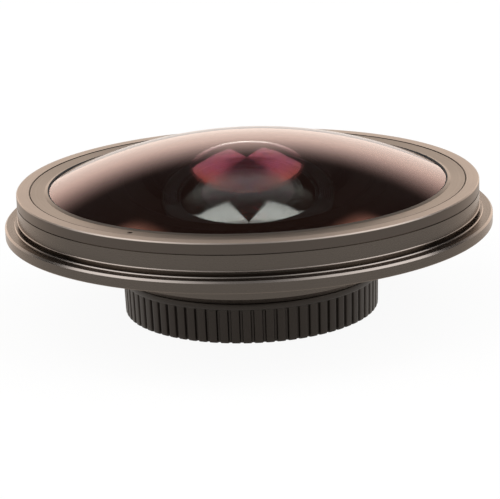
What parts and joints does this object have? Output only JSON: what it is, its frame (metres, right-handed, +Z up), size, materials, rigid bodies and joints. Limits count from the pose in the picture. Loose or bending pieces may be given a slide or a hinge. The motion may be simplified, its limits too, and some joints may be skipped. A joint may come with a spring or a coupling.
{
  "type": "fisheye lens",
  "caption": "Fisheye front lens with a wide domed glass in a flanged metal body, standing on its ribbed rear cap that pulls off the mount thread.",
  "frame": {"origin": "centre of the rear cap's flat underside, on the table that the lens stands on", "axes": "+Z up along the optical axis towards the front glass; +X and +Y across it, with +Y away from the side that the picture shows"},
  "size_m": [0.1226, 0.1226, 0.0435],
  "materials": {
    "anodised_aluminium": "satin dark anodised, brownish grey",
    "blackened_aluminium": "matte black inside the lens",
    "black_plastic": "moulded, fine satin",
    "coated_glass": "polished, with a faint magenta coating",
    "black_rubber": "matte",
    "seat_pad": "matte black film",
    "screw_steel": "blackened",
    "shim_brass": "bright"
  },
  "bodies": {
    "lens": {"main_housing": "anodised_aluminium", "front_bezel_ring": "anodised_aluminium", "front_retaining_ring": "anodised_aluminium", "front_seal_ring": "black_rubber", "front_seat_ring": "seat_pad", "front_element": "coated_glass", "light_baffle": "blackened_aluminium", "lens_cell": "blackened_aluminium", "cell_shim": "shim_brass", "cell_screws": "screw_steel", "second_element": "coated_glass", "second_retaining_ring": "blackened_aluminium", "field_stop": "blackened_aluminium", "rear_spacer_ring": "blackened_aluminium", "third_element": "coated_glass", "rear_element": "coated_glass", "rear_retaining_ring": "blackened_aluminium", "rear_mount": "anodised_aluminium", "mount_grub_screws": "screw_steel"},
    "cap": {"rear_cap": "black_plastic"}
  },
  "joints": [
    {"name": "cap_pull", "type": "slide", "parent": "lens", "child": "cap", "axis": [0, 0, -1], "range_m": [0, 0.05]}
  ]
}
